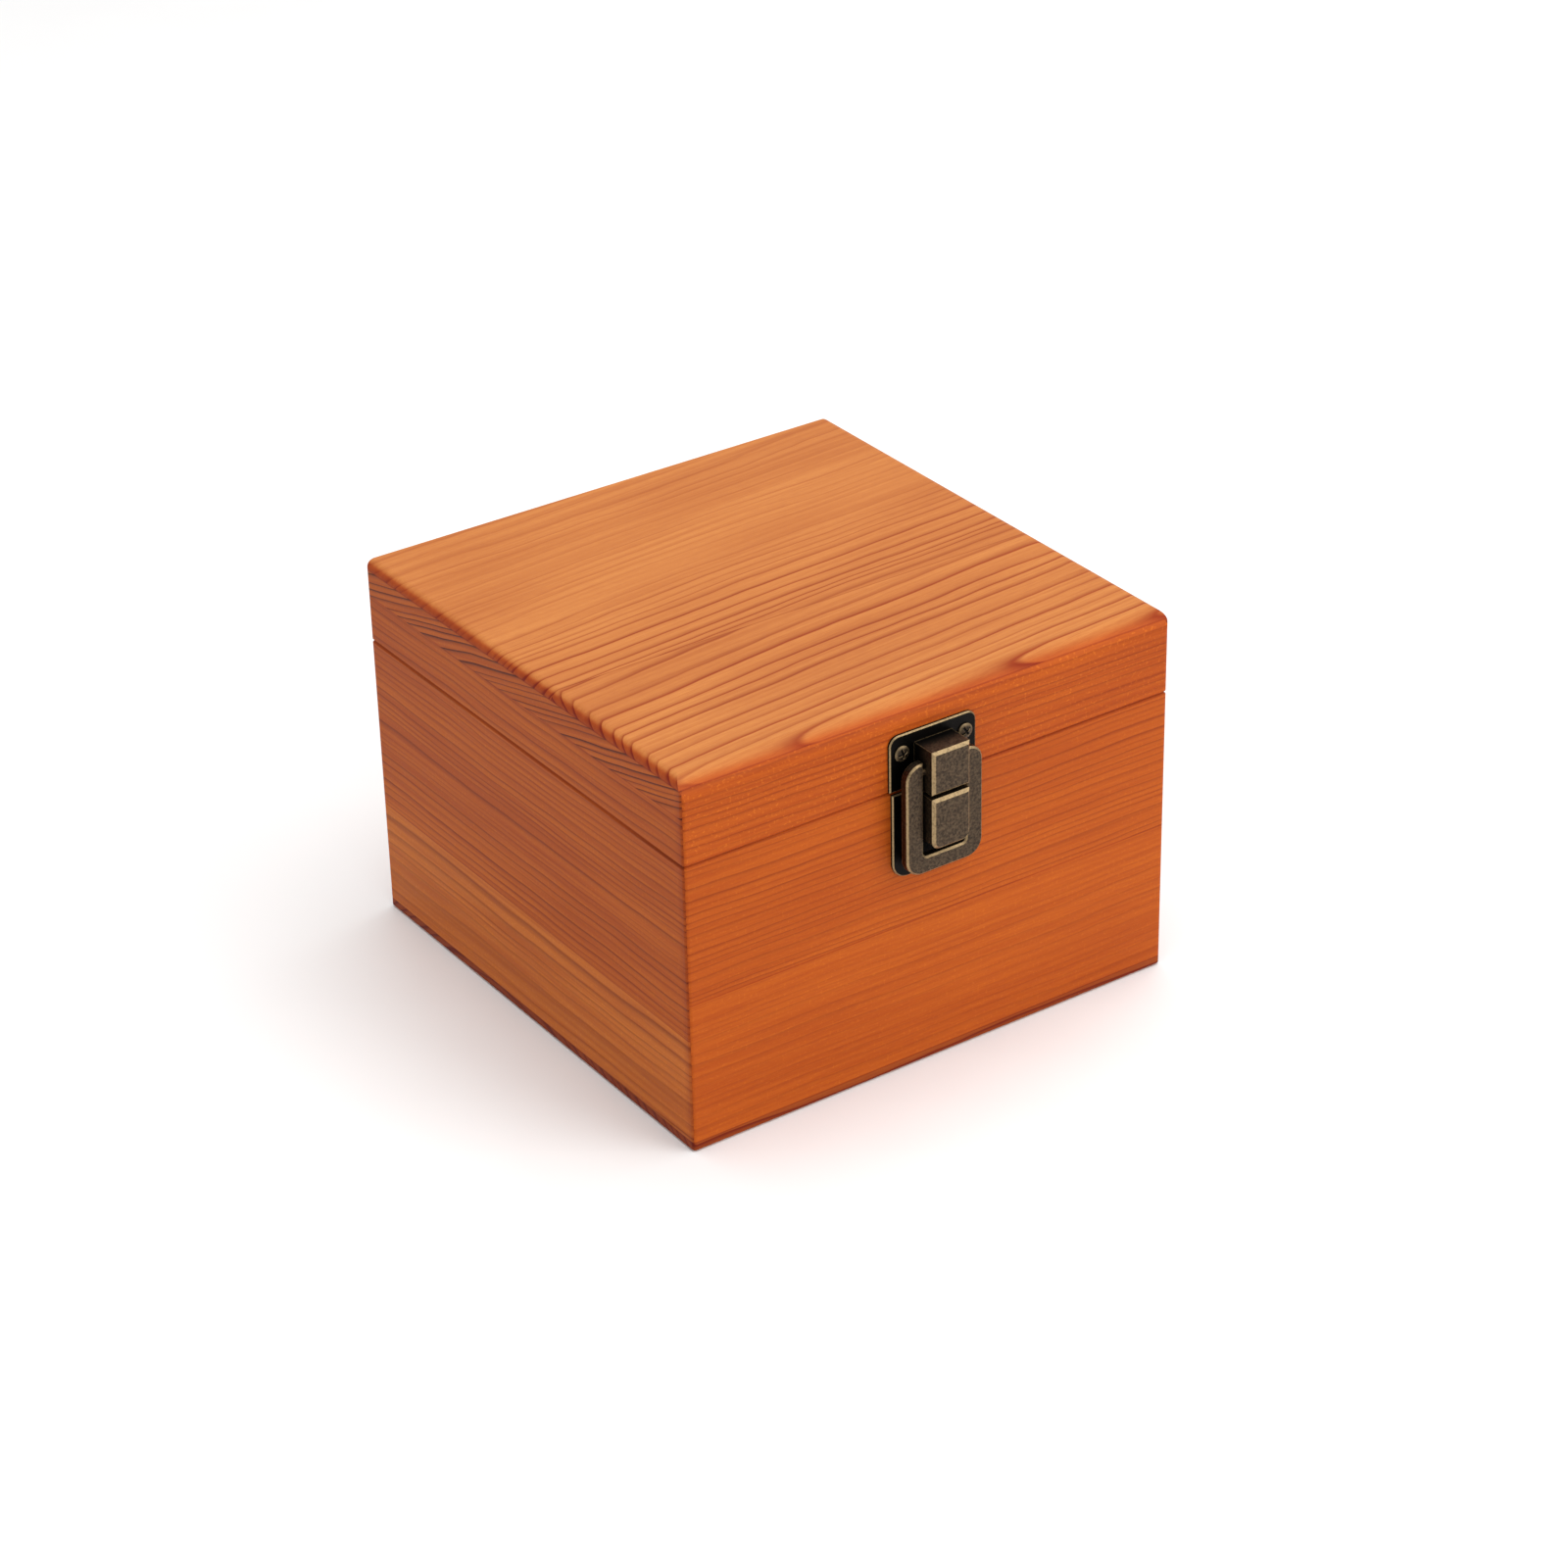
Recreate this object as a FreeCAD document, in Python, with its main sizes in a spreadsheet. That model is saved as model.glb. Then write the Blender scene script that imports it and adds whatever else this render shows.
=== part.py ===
"""Square wooden storage box with a hinged lid, two butt hinges and a front hasp latch.

Frame: millimetres, +Z up, origin at the centre of the underside, front face towards -Y.
The walls are edge-glued boards with mitred corners. The lid is a mitred rail frame under
a two-board top. Metal parts are drawn in a local frame: their plate lies on the plane
y = 0, outwards is -Y, and z = 0 is the parting plane between lid and box.
"""

import os

import FreeCAD
import Part
import Sketcher

# Driving dimensions: alias, millimetres, meaning
SIZES = [
    ("box_width", 160.0, "outside, along X"),
    ("box_depth", 160.0, "outside, along Y"),
    ("box_height", 113.0, "outside, along Z, lid closed"),
    ("lid_height", 25.0, "parting plane to the top"),
    ("wall_thickness", 9.0, "boards of the walls and the lid rails"),
    ("top_thickness", 2.6, "boards of the lid top"),
    ("bottom_thickness", 3.0, "bottom board"),
    ("corner_radius", 1.2, "sanded vertical corners"),
    ("foot_chamfer", 0.7, "eased lower edges of the bottom board"),
    ("seam_chamfer", 0.6, "eased edges on both sides of the parting line"),
    ("front_roundover", 6.0, "top edge above the latch"),
    ("end_roundover", 3.0, "top edges over the side walls"),
    ("top_seam", 62.0, "front face to the glue line of the top"),
    ("front_seam", 46.0, "underside to the glue line of the front wall"),
    ("left_seam", 35.0, "underside to the glue line of the left wall"),
    ("right_seam", 41.0, "underside to the glue line of the right wall"),
    ("back_seam", 50.0, "underside to the glue line of the back wall"),
    ("left_lid_strip", 8.2, "upper of the two boards in the lid's left rail"),
    ("screw_head_radius", 2.3, "all screws are alike"),
    ("screw_head_height", 1.0, "raised head"),
    ("screw_shank_radius", 1.15, "plain shank"),
    ("screw_length", 7.0, "below the head"),
    ("screw_clearance", 0.1, "shank to its hole, radial"),
    ("plate_thickness", 1.0, "latch plates"),
    ("plate_gap", 1.0, "between the two latch plates"),
    ("latch_offset", -1.0, "latch centre from the box centre, along X"),
    ("strike_width", 28.4, "upper latch plate"),
    ("strike_height", 16.5, "upper latch plate"),
    ("strike_corner", 3.0, "upper plate's top corners"),
    ("strike_screw_pitch", 20.8, "between the two upper screws"),
    ("strike_screw_height", 11.6, "upper screws above the parting plane"),
    ("catch_width", 26.8, "lower latch plate"),
    ("catch_height", 26.0, "lower latch plate"),
    ("catch_corner", 5.0, "lower plate's bottom corners"),
    ("catch_screw_pitch", 16.0, "between the two lower screws"),
    ("catch_screw_drop", 20.0, "lower screws below the parting plane"),
    ("block_width", 12.4, "raised blocks of both plates"),
    ("block_reach", 9.5, "wood to the blocks' front faces"),
    ("block_gap", 1.3, "between the two blocks"),
    ("block_top", 13.6, "upper block above the parting plane"),
    ("block_drop", 16.0, "lower block below the parting plane"),
    ("block_corner", 2.6, "lower block's bottom corners"),
    ("block_bevel", 0.8, "bevelled front edges of the blocks"),
    ("plate_bevel", 0.35, "bevelled front edges of the plates"),
    ("hasp_width", 25.0, "outside of the horseshoe"),
    ("hasp_top", 9.6, "arm tips above the parting plane"),
    ("hasp_drop", 24.0, "lower edge below the parting plane"),
    ("hasp_bar", 5.0, "height of the bar that a finger lifts"),
    ("hasp_thickness", 2.5, "horseshoe plate"),
    ("hasp_standoff", 3.8, "wood to the back of the horseshoe"),
    ("hasp_window_gap", 0.8, "block to horseshoe, each side"),
    ("hasp_top_corner", 4.6, "rounded arm tips"),
    ("hasp_bottom_corner", 5.0, "rounded lower corners"),
    ("hasp_window_corner", 1.2, "inside corners"),
    ("hasp_bevel", 0.5, "bevelled front edges of the horseshoe"),
    ("hasp_pin_radius", 0.9, "pivot pin"),
    ("hasp_pin_length", 21.0, "pivot pin"),
    ("hasp_pin_height", 6.5, "pivot above the parting plane"),
    ("pin_clearance", 0.06, "pins in their bores, radial"),
    ("hinge_width", 24.0, "along the hinge axis"),
    ("hinge_inset", 35.0, "side of the box to a hinge centre"),
    ("leaf_height", 14.5, "hinge axis to the leaf's free edge"),
    ("leaf_thickness", 1.0, "hinge leaves"),
    ("leaf_corner", 2.0, "leaf corners"),
    ("leaf_screw_pitch", 13.0, "between a leaf's two screws"),
    ("leaf_screw_height", 8.6, "hinge axis to a leaf's screws"),
    ("knuckle_radius", 2.0, "outside of the knuckles"),
    ("knuckle_clearance", 0.3, "knuckle to the wood and to the other leaf"),
    ("knuckle_gap", 0.2, "between neighbouring knuckles"),
    ("hinge_pin_radius", 0.95, "hinge pin"),
]
KNUCKLES = 3  # odd ones belong to the box leaf, even ones to the lid leaf

doc = FreeCAD.newDocument("StorageBox")
sheet = doc.addObject("Spreadsheet::Sheet", "Sizes")
for row, (alias, value, meaning) in enumerate(SIZES, start=1):
    sheet.set(f"A{row}", meaning)
    sheet.set(f"B{row}", str(value))
    sheet.setAlias(f"B{row}", alias)
doc.recompute()
NODES = []


def size(alias):
    """A driving dimension's value, for the few places that no expression can reach."""
    return float(sheet.get(alias))


def expr(text):
    """Spells an expression on the sheet: every alias in it gets the sheet's name."""
    words = text.replace("(", " ( ").replace(")", " ) ").split()
    known = {alias for alias, _, _ in SIZES}
    return " ".join("Sizes." + word if word in known else word for word in words)


def bind(obj, **sizes):
    """Binds properties to expressions; a double underscore stands for a dot in the property's path."""
    for path, text in sizes.items():
        obj.setExpression(path.replace("__", "."), expr(text))
    return obj


def node(obj, label):
    """Marks an object as a finished sub-part."""
    obj.Label = label
    NODES.append(obj)
    return obj


def place(obj, x="0", y="0", z="0", turn=0.0):
    """Puts an object at bound coordinates, turned about Z by so many degrees."""
    obj.Placement = FreeCAD.Placement(FreeCAD.Vector(), FreeCAD.Rotation(FreeCAD.Vector(0, 0, 1), turn))
    return bind(obj, Placement__Base__x=x, Placement__Base__y=y, Placement__Base__z=z)


def body(name):
    return doc.addObject("PartDesign::Body", name)


def sketch_on(owner, role, name, lift=None):
    """A sketch on one of the body's origin planes, lifted along the plane's normal."""
    plane = next(f for f in owner.Origin.OriginFeatures if f.Role == role)
    sketch = owner.newObject("Sketcher::SketchObject", name)
    sketch.AttachmentSupport = [(plane, "")]
    sketch.MapMode = "FlatFace"
    if lift:
        bind(sketch, AttachmentOffset__Base__z=lift)
    return sketch


def fix_point(sketch, geometry, end, x, y):
    """Holds one point of the sketch at bound coordinates."""
    for kind, text in (("DistanceX", x), ("DistanceY", y)):
        index = sketch.addConstraint(Sketcher.Constraint(kind, -1, 1, geometry, end, 1.0))
        sketch.setExpression(f"Constraints[{index}]", expr(text))


def outline(sketch, corners):
    """A closed outline of straight lines through bound corner points, given anticlockwise."""
    count = len(corners)
    circle = [
        FreeCAD.Vector(10, 0, 0)
        if i == 0
        else FreeCAD.Rotation(FreeCAD.Vector(0, 0, 1), 360.0 * i / count).multVec(FreeCAD.Vector(10, 0, 0))
        for i in range(count)
    ]
    lines = [
        sketch.addGeometry(Part.LineSegment(circle[i], circle[(i + 1) % count]))
        for i in range(count)
    ]
    for i, line in enumerate(lines):
        sketch.addConstraint(Sketcher.Constraint("Coincident", line, 2, lines[(i + 1) % count], 1))
    for line, (x, y) in zip(lines, corners):
        fix_point(sketch, line, 1, x, y)


def rectangle(sketch, left, low, right, high):
    outline(sketch, [(left, low), (right, low), (right, high), (left, high)])


def circle(sketch, x, y, radius):
    ring = sketch.addGeometry(Part.Circle(FreeCAD.Vector(0, 0, 0), FreeCAD.Vector(0, 0, 1), 1.0))
    fix_point(sketch, ring, 3, x, y)
    index = sketch.addConstraint(Sketcher.Constraint("Radius", ring, 1.0))
    sketch.setExpression(f"Constraints[{index}]", expr(radius))


def pad(owner, sketch, name, length, midplane=False):
    feature = owner.newObject("PartDesign::Pad", name)
    feature.Profile = sketch
    feature.Midplane = midplane
    bind(feature, Length=length)
    doc.recompute()
    return feature


def pocket(owner, sketch, name, length, midplane=False, reverse=False):
    before = owner.Shape.Volume
    feature = owner.newObject("PartDesign::Pocket", name)
    feature.Profile = sketch
    feature.Midplane = midplane
    feature.Reversed = reverse
    bind(feature, Length=length)
    doc.recompute()
    if not owner.Shape.Volume < before - 1e-6:
        raise RuntimeError(f"{owner.Name}: {name} cut nothing")
    return feature


def fillet(owner, name, radius, wanted):
    """Rounds the edges of the body's last solid that the test function picks."""
    base = owner.Tip
    edges = [f"Edge{i}" for i, edge in enumerate(base.Shape.Edges, start=1) if wanted(edge)]
    if not edges:
        raise RuntimeError(f"{owner.Name}: {name} found no edge")
    feature = owner.newObject("PartDesign::Fillet", name)
    feature.Base = (base, edges)
    bind(feature, Radius=radius)
    doc.recompute()
    return feature


def chamfer(owner, name, width, wanted):
    """Bevels the edges of the body's last solid that the test function picks."""
    base = owner.Tip
    edges = [f"Edge{i}" for i, edge in enumerate(base.Shape.Edges, start=1) if wanted(edge)]
    if not edges:
        raise RuntimeError(f"{owner.Name}: {name} found no edge")
    feature = owner.newObject("PartDesign::Chamfer", name)
    feature.Base = (base, edges)
    bind(feature, Size=width)
    doc.recompute()
    return feature


def span(edge):
    """An edge's box: lowest and highest corner, without the slack that curves get."""
    box = edge.BoundBox
    return (box.XMin, box.YMin, box.ZMin), (box.XMax, box.YMax, box.ZMax)


def near(a, b):
    return abs(a - b) < 1e-4


def along(axis, edge):
    """True for a straight edge that runs along X, Y or Z (0, 1 or 2)."""
    low, high = span(edge)
    return all(near(low[k], high[k]) for k in range(3) if k != axis) and not near(low[axis], high[axis])


def at(edge, axis, value):
    """True if the whole edge lies at one coordinate of an axis."""
    low, high = span(edge)
    return near(low[axis], value) and near(high[axis], value)


# Wooden boards
def blank(name, length, reach, low, high, turn):
    """A board with mitred ends: its outer face is on the outside of the box."""
    wedge = doc.addObject("Part::Wedge", name)
    wedge.Placement = FreeCAD.Placement(FreeCAD.Vector(), FreeCAD.Rotation(FreeCAD.Vector(0, 0, 1), turn))
    return bind(
        wedge,
        Xmin=f"0 - {length} / 2",
        Xmax=f"{length} / 2",
        X2min=f"wall_thickness - {length} / 2",
        X2max=f"{length} / 2 - wall_thickness",
        Ymin=f"0 - {reach} / 2",
        Ymax=f"wall_thickness - {reach} / 2",
        Zmin=low,
        Zmax=high,
        Z2min=low,
        Z2max=high,
    )


def envelope(name, low, high, rounded):
    """The outside of box or lid, with sanded corners and one eased rim at the parting line."""
    owner = body(name)
    sketch = sketch_on(owner, "XY_Plane", name + "_plan", low)
    half_x = "box_width / 2"
    half_y = "box_depth / 2"
    rectangle(sketch, f"0 - {half_x}", f"0 - {half_y}", half_x, half_y)
    pad(owner, sketch, name + "_height", f"{high} - ( {low} )")
    fillet(owner, name + "_corners", "corner_radius", lambda edge: along(2, edge))
    level = size("box_height") - size("lid_height")
    chamfer(owner, name + "_rim", "seam_chamfer", lambda edge: at(edge, 2, level))
    if rounded:
        chamfer(owner, name + "_foot", "foot_chamfer", lambda edge: at(edge, 2, 0.0))
    return owner


def joined(name, shape, tool, kind):
    """A two-piece boolean: Common keeps what both hold, Cut takes the tool away."""
    result = doc.addObject("Part::" + kind, name)
    result.Base = shape
    result.Tool = tool
    doc.recompute()
    return result


def group(name, members):
    result = doc.addObject("Part::Compound", name)
    result.Links = members
    doc.recompute()
    return result


PARTING = "box_height - lid_height"
RAIL_TOP = "box_height - top_thickness"
STRIP_LOW = f"{RAIL_TOP} - left_lid_strip"
SIDES = {
    "front": ("box_width", "box_depth", 0.0),
    "right": ("box_depth", "box_width", 90.0),
    "back": ("box_width", "box_depth", 180.0),
    "left": ("box_depth", "box_width", 270.0),
}
box_outside = envelope("BoxOutside", "0", PARTING, True)
lid_square = envelope("LidOutside", PARTING, "box_height", False)


def rounded_block(name, radius, wanted):
    """A block as large as the lid with some of its edges rounded over."""
    owner = body(name)
    sketch = sketch_on(owner, "XY_Plane", name + "_plan", PARTING)
    rectangle(sketch, "0 - box_width / 2", "0 - box_depth / 2", "box_width / 2", "box_depth / 2")
    pad(owner, sketch, name + "_height", "lid_height")
    fillet(owner, name + "_roundover", radius, wanted)
    return owner


# The lid is sanded as one: a broad roundover in front and smaller ones over the side walls
top = size("box_height")
front = -size("box_depth") / 2
nosing = rounded_block(
    "LidNosing",
    "front_roundover",
    lambda edge: along(0, edge) and at(edge, 1, front) and at(edge, 2, top),
)
ends = rounded_block("LidEnds", "end_roundover", lambda edge: along(1, edge) and at(edge, 2, top))
lid_outside = joined("lid_sanded", joined("lid_nosed", lid_square, nosing, "Common"), ends, "Common")


def pilot_holes(name, places):
    """Cylinders for screws that enter the wood along the local +Y, as one cutting tool."""
    drills = []
    for i, (face, x, z) in enumerate(places):
        drill = doc.addObject("Part::Cylinder", f"{name}_{i}")
        bind(drill, Radius="screw_shank_radius + screw_clearance", Height="screw_length + screw_clearance")
        if face == "front":
            turn = FreeCAD.Rotation(FreeCAD.Vector(1, 0, 0), -90)
            y = "0 - box_depth / 2"
        else:
            turn = FreeCAD.Rotation(FreeCAD.Vector(1, 0, 0), 90)
            y = "box_depth / 2"
        drill.Placement = FreeCAD.Placement(FreeCAD.Vector(), turn)
        bind(drill, Placement__Base__x=x, Placement__Base__y=y, Placement__Base__z=z)
        drills.append(drill)
    return group(name, drills)


def hinge_places(z):
    """Screw places of both hinges' leaves on one side of the hinge axis."""
    return [
        ("back", f"{side} * ( box_width / 2 - hinge_inset ) + {step} * leaf_screw_pitch / 2", z)
        for side in ("-1", "1")
        for step in ("-1", "1")
    ]


def latch_places(pitch, z):
    return [("front", f"latch_offset + {step} * {pitch} / 2", z) for step in ("-1", "1")]


DRILLED = {
    "front_wall_upper_board": latch_places("catch_screw_pitch", f"{PARTING} - catch_screw_drop"),
    "back_wall_upper_board": hinge_places(f"{PARTING} - leaf_screw_height"),
    "lid_front_rail": latch_places("strike_screw_pitch", f"{PARTING} + strike_screw_height"),
    "lid_back_rail": hinge_places(f"{PARTING} + leaf_screw_height"),
}


def board(label, side, low, high, outside):
    length, reach, turn = SIDES[side]
    sawn = blank(label + "_blank", length, reach, low, high, turn)
    shape = joined(label + "_sanded", sawn, outside, "Common")
    if label in DRILLED:
        shape = joined(label + "_drilled", shape, pilot_holes(label + "_holes", DRILLED[label]), "Cut")
    return node(shape, label)


for side in SIDES:
    board(f"{side}_wall_lower_board", side, "bottom_thickness", f"{side}_seam", box_outside)
    board(f"{side}_wall_upper_board", side, f"{side}_seam", PARTING, box_outside)
    board(f"lid_{side}_rail", side, PARTING, STRIP_LOW if side == "left" else RAIL_TOP, lid_outside)
board("lid_left_upper_rail", "left", STRIP_LOW, RAIL_TOP, lid_outside)

bottom_blank = doc.addObject("Part::Box", "bottom_blank")
bind(bottom_blank, Length="box_width", Width="box_depth", Height="bottom_thickness")
bind(bottom_blank, Placement__Base__x="0 - box_width / 2", Placement__Base__y="0 - box_depth / 2")
node(joined("bottom_sanded", bottom_blank, box_outside, "Common"), "bottom_board")

# Lid top: two thin boards, glued edge to edge
for label, low, high in (
    ("lid_top_front_board", "0 - box_depth / 2", "top_seam - box_depth / 2"),
    ("lid_top_back_board", "top_seam - box_depth / 2", "box_depth / 2"),
):
    sawn = doc.addObject("Part::Box", label + "_blank")
    bind(sawn, Length="box_width", Width=f"{high} - ( {low} )", Height="top_thickness")
    bind(sawn, Placement__Base__x="0 - box_width / 2", Placement__Base__y=low, Placement__Base__z=RAIL_TOP)
    node(joined(label + "_sanded", sawn, lid_outside, "Common"), label)


# Screws: one pattern, drawn along the local -Y with the head's seat at y = 0
def screw(name, x, y, z, turn):
    owner = body(name)
    sketch = sketch_on(owner, "XY_Plane", name + "_profile")
    outline(
        sketch,
        [
            ("0", "screw_length"),
            ("0", "0 - screw_head_height"),
            ("screw_head_radius", "0 - screw_head_height"),
            ("screw_head_radius", "0"),
            ("screw_shank_radius", "0"),
            ("screw_shank_radius", "screw_length"),
        ],
    )
    turned = owner.newObject("PartDesign::Revolution", name + "_turned")
    turned.Profile = sketch
    turned.ReferenceAxis = (sketch, ["V_Axis"])
    turned.Angle = 360.0
    doc.recompute()
    return place(owner, x, y, z, turn)


def screws(label, places):
    """All the screws of one body: a head sits on the latch plate in front and on a hinge leaf behind."""
    members = []
    for i, (face, x, z) in enumerate(places):
        front = face == "front"
        y = "0 - box_depth / 2 - plate_thickness" if front else "box_depth / 2 + leaf_thickness"
        members.append(screw(f"{label}_{i}", x, y, z, 0.0 if front else 180.0))
    return node(group(label + "_group", members), label)


screws("box_screws", DRILLED["front_wall_upper_board"] + DRILLED["back_wall_upper_board"])
screws("lid_screws", DRILLED["lid_front_rail"] + DRILLED["lid_back_rail"])


# Latch plates, each with a raised block in the middle
def plate(label, low, high, width, corner_level, corner, screw_pitch, screw_level):
    owner = body(label)
    sketch = sketch_on(owner, "XZ_Plane", label + "_outline")
    rectangle(sketch, f"0 - {width} / 2", low, f"{width} / 2", high)
    for step in ("-1", "1"):
        circle(sketch, f"{step} * {screw_pitch} / 2", screw_level, "screw_shank_radius + screw_clearance")
    pad(owner, sketch, label + "_sheet", "plate_thickness")
    fillet(owner, label + "_corners", corner, lambda edge: along(1, edge) and at(edge, 2, corner_level))
    face = -size("plate_thickness")
    hole = 2.2 * (size("screw_shank_radius") + size("screw_clearance"))
    chamfer(
        owner,
        label + "_rim",
        "plate_bevel",
        lambda edge: at(edge, 1, face) and max(edge.BoundBox.XLength, edge.BoundBox.ZLength) > hole,
    )
    place(owner, "latch_offset", "0 - box_depth / 2", PARTING)
    return owner


def block(owner, label, low, high, corner_level=None):
    sketch = sketch_on(owner, "XZ_Plane", label + "_block_outline")
    rectangle(sketch, "0 - block_width / 2", low, "block_width / 2", high)
    pad(owner, sketch, label + "_block", "block_reach")
    if corner_level is not None:
        fillet(
            owner,
            label + "_block_corners",
            "block_corner",
            lambda edge: along(1, edge) and at(edge, 2, corner_level),
        )
    face = -size("block_reach")
    chamfer(owner, label + "_block_bevel", "block_bevel", lambda edge: at(edge, 1, face))


PIN_OUT = "( hasp_standoff + hasp_thickness / 2 )"
strike = plate(
    "latch_strike_plate",
    "plate_gap / 2",
    "plate_gap / 2 + strike_height",
    "strike_width",
    size("plate_gap") / 2 + size("strike_height"),
    "strike_corner",
    "strike_screw_pitch",
    "strike_screw_height",
)
block(strike, "latch_strike", "block_gap / 2", "block_top")
bore = sketch_on(strike, "YZ_Plane", "latch_strike_bore_circle")
circle(bore, f"0 - {PIN_OUT}", "hasp_pin_height", "hasp_pin_radius + pin_clearance")
pocket(strike, bore, "latch_strike_bore", "block_width * 2", midplane=True)
node(strike, "latch_strike_plate")
catch = plate(
    "latch_catch_plate",
    "0 - plate_gap / 2 - catch_height",
    "0 - plate_gap / 2",
    "catch_width",
    -size("plate_gap") / 2 - size("catch_height"),
    "catch_corner",
    "catch_screw_pitch",
    "0 - catch_screw_drop",
)
block(catch, "latch_catch", "0 - block_drop", "0 - block_gap / 2", -size("block_drop"))
node(catch, "latch_catch_plate")

# Horseshoe hasp and its pin
hasp = body("latch_hasp")
hasp_sketch = sketch_on(hasp, "XZ_Plane", "latch_hasp_outline", "hasp_standoff")
half = "hasp_width / 2"
inner = "( block_width / 2 + hasp_window_gap )"
bar = "hasp_bar - hasp_drop"
outline(
    hasp_sketch,
    [
        (half, "0 - hasp_drop"),
        (half, "hasp_top"),
        (inner, "hasp_top"),
        (inner, bar),
        (f"0 - {inner}", bar),
        (f"0 - {inner}", "hasp_top"),
        (f"0 - {half}", "hasp_top"),
        (f"0 - {half}", "0 - hasp_drop"),
    ],
)
pad(hasp, hasp_sketch, "latch_hasp_sheet", "hasp_thickness")
outer = size("hasp_width") / 2
for name, radius, level, reach in (
    ("tips", "hasp_top_corner", size("hasp_top"), outer),
    ("foot", "hasp_bottom_corner", -size("hasp_drop"), outer),
    ("window", "hasp_window_corner", size("hasp_bar") - size("hasp_drop"), None),
):
    fillet(
        hasp,
        "latch_hasp_" + name,
        radius,
        lambda edge: along(1, edge)
        and at(edge, 2, level)
        and (reach is None or at(edge, 0, reach) or at(edge, 0, -reach)),
    )
hasp_face = -size("hasp_standoff") - size("hasp_thickness")
chamfer(hasp, "latch_hasp_rim", "hasp_bevel", lambda edge: at(edge, 1, hasp_face))
socket = sketch_on(hasp, "YZ_Plane", "latch_hasp_socket_circle")
circle(socket, f"0 - {PIN_OUT}", "hasp_pin_height", "hasp_pin_radius + pin_clearance")
pocket(hasp, socket, "latch_hasp_sockets", "hasp_pin_length + 2 * pin_clearance", midplane=True)
place(hasp, "latch_offset", "0 - box_depth / 2", PARTING)
node(hasp, "latch_hasp")


def rod(name, radius, length, x, y, z):
    """A round bar along X that starts at x."""
    result = doc.addObject("Part::Cylinder", name)
    result.Placement = FreeCAD.Placement(FreeCAD.Vector(), FreeCAD.Rotation(FreeCAD.Vector(0, 1, 0), 90))
    bind(result, Radius=radius, Height=length)
    return bind(result, Placement__Base__x=x, Placement__Base__y=y, Placement__Base__z=z)


hasp_pin = rod(
    "hasp_pin_rod",
    "hasp_pin_radius",
    "hasp_pin_length",
    "latch_offset - hasp_pin_length / 2",
    f"0 - box_depth / 2 - {PIN_OUT}",
    f"{PARTING} + hasp_pin_height",
)
node(hasp_pin, "latch_hasp_pin")

# Butt hinges on the back: the axis runs along X on the parting plane, clear of the wood
AXIS_OUT = "( knuckle_radius + knuckle_clearance )"
AXIS_Y = f"box_depth / 2 + {AXIS_OUT}"


def leaf(label, centre, up, knuckles):
    """A leaf with its knuckles: up is 1 for the lid's leaf and -1 for the box's."""
    owner = body(label + "_sheet")
    sketch = sketch_on(owner, "XZ_Plane", label + "_outline", "0 - box_depth / 2 - leaf_thickness")
    near_edge = f"{PARTING} + {up} * {AXIS_OUT}"
    free_edge = f"{PARTING} + {up} * leaf_height"
    low, high = (near_edge, free_edge) if up == 1 else (free_edge, near_edge)
    rectangle(sketch, f"{centre} - hinge_width / 2", low, f"{centre} + hinge_width / 2", high)
    for step in ("-1", "1"):
        circle(
            sketch,
            f"{centre} + {step} * leaf_screw_pitch / 2",
            f"{PARTING} + {up} * leaf_screw_height",
            "screw_shank_radius + screw_clearance",
        )
    pad(owner, sketch, label + "_thickness", "leaf_thickness")
    level = size("box_height") - size("lid_height") + up * size("leaf_height")
    fillet(owner, label + "_corners", "leaf_corner", lambda edge: along(1, edge) and at(edge, 2, level))
    pieces = [owner]
    for i in knuckles:
        start = f"{centre} - hinge_width / 2 + {i} * hinge_width / {KNUCKLES} + knuckle_gap / 2"
        length = f"hinge_width / {KNUCKLES} - knuckle_gap"
        pieces.append(rod(f"{label}_knuckle_{i}", "knuckle_radius", length, start, AXIS_Y, PARTING))
        web = doc.addObject("Part::Box", f"{label}_web_{i}")
        overlap = f"( {AXIS_OUT} + leaf_thickness / 2 )"
        bind(web, Length=length, Width="leaf_thickness", Height=f"{overlap} - knuckle_clearance")
        base = f"{PARTING} + knuckle_clearance" if up == 1 else f"{PARTING} - {overlap}"
        bind(web, Placement__Base__x=start, Placement__Base__y="box_depth / 2", Placement__Base__z=base)
        pieces.append(web)
    fused = doc.addObject("Part::MultiFuse", label + "_fused")
    fused.Shapes = pieces
    doc.recompute()
    hole = rod(
        label + "_bore",
        "hinge_pin_radius + pin_clearance",
        "hinge_width * 2",
        f"{centre} - hinge_width",
        AXIS_Y,
        PARTING,
    )
    return node(joined(label + "_bored", fused, hole, "Cut"), label)


for side, sign in (("left", "-1"), ("right", "1")):
    centre = f"{sign} * ( box_width / 2 - hinge_inset )"
    leaf(f"{side}_hinge_box_leaf", centre, -1, range(0, KNUCKLES, 2))
    leaf(f"{side}_hinge_lid_leaf", centre, 1, range(1, KNUCKLES, 2))
    start = f"{centre} - hinge_width / 2"
    pin = rod(f"{side}_hinge_rod", "hinge_pin_radius", "hinge_width", start, AXIS_Y, PARTING)
    node(pin, f"{side}_hinge_pin")

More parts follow.
